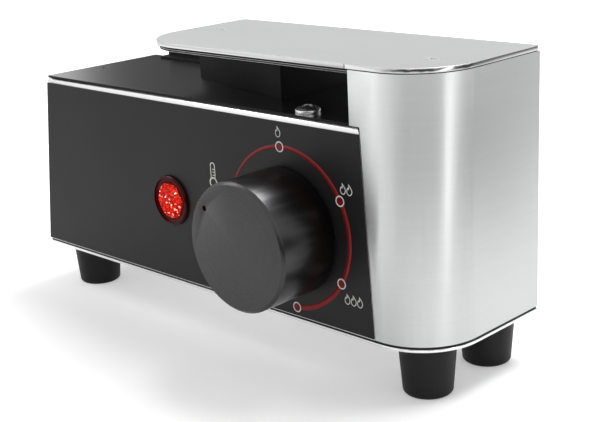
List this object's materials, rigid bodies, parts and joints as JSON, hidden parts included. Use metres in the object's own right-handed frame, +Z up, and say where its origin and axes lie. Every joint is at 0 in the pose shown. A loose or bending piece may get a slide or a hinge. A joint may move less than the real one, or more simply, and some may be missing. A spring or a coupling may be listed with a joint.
{
  "type": "compact bench heater",
  "caption": "Compact bench heater: heated deck under an overhanging lid, control panel with a turning thermostat knob and signal lamp, on rubber feet.",
  "frame": {"origin": "on the bench surface, under the middle of the bounding box, which takes in the knob and the mains inlet", "axes": "+Z up, -Y out of the control panel, +X towards the end housing, which is the longest way"},
  "size_m": [0.254, 0.1028, 0.1338],
  "materials": {
    "stainless": "brushed stainless sheet",
    "satin_black": "satin black printed overlay",
    "black_plate": "black brushed plate with a gloss coat",
    "black_rubber": "matt black rubber",
    "mineral_mat": "pressed mineral fibre",
    "knob_plastic": "black knob with a satin turned face",
    "brass": "turned brass",
    "copper": "bare copper",
    "red_lens": "clear red moulded lens with a jewel pattern",
    "lamp_bezel": "dark red gloss ring",
    "ivory_plastic": "moulded ivory plastic",
    "black_plastic": "moulded black plastic",
    "heater_sheath": "oxidised steel sheath",
    "chrome_screw": "bright plated screw",
    "dark_screw": "blackened screw",
    "steel": "zinc plated steel"
  },
  "bodies": {
    "casing": {"base_plate": "stainless", "base_seal": "black_rubber", "front_panel": "stainless", "panel_overlay": "satin_black", "left_end_panel": "stainless", "back_panel": "stainless", "end_skin": "stainless", "deck_plate": "black_plate", "end_wall": "stainless", "pedestal": "black_plate", "rear_upstand": "black_plate", "lid_plate": "stainless", "lid_gasket": "black_rubber", "lid_insulation": "mineral_mat", "lid_liner": "stainless", "rubber_feet": "black_rubber", "foot_washers": "steel", "foot_screws": "steel", "thermostat_body": "black_plastic", "thermostat_bracket": "steel", "thermostat_screws": "steel", "sensor_bulb": "copper", "capillary_tube": "copper", "lamp_lens": "red_lens", "lamp_bezel": "lamp_bezel", "lamp_barrel": "ivory_plastic", "lamp_nut": "ivory_plastic", "heater_element": "heater_sheath", "element_clamp": "steel", "clamp_nuts": "steel", "insulation_board": "mineral_mat", "thermal_cutout": "black_plastic", "terminal_block": "ivory_plastic", "earth_stud": "brass", "mains_inlet": "black_plastic", "inlet_pins": "brass", "inlet_screws": "steel", "deck_screw": "chrome_screw", "deck_small_screws": "dark_screw", "lid_screws": "steel", "base_screws": "steel", "back_screws": "steel"},
    "knob": {"control_knob": "knob_plastic", "knob_bushing": "brass", "knob_grub_screw": "dark_screw", "thermostat_spindle": "steel"}
  },
  "joints": [
    {"name": "knob_turn", "type": "hinge", "parent": "casing", "child": "knob", "pos_m": [0.0514, -0.02115, 0.0613], "axis": [0, 1, 0], "range_deg": [0, 240]}
  ]
}
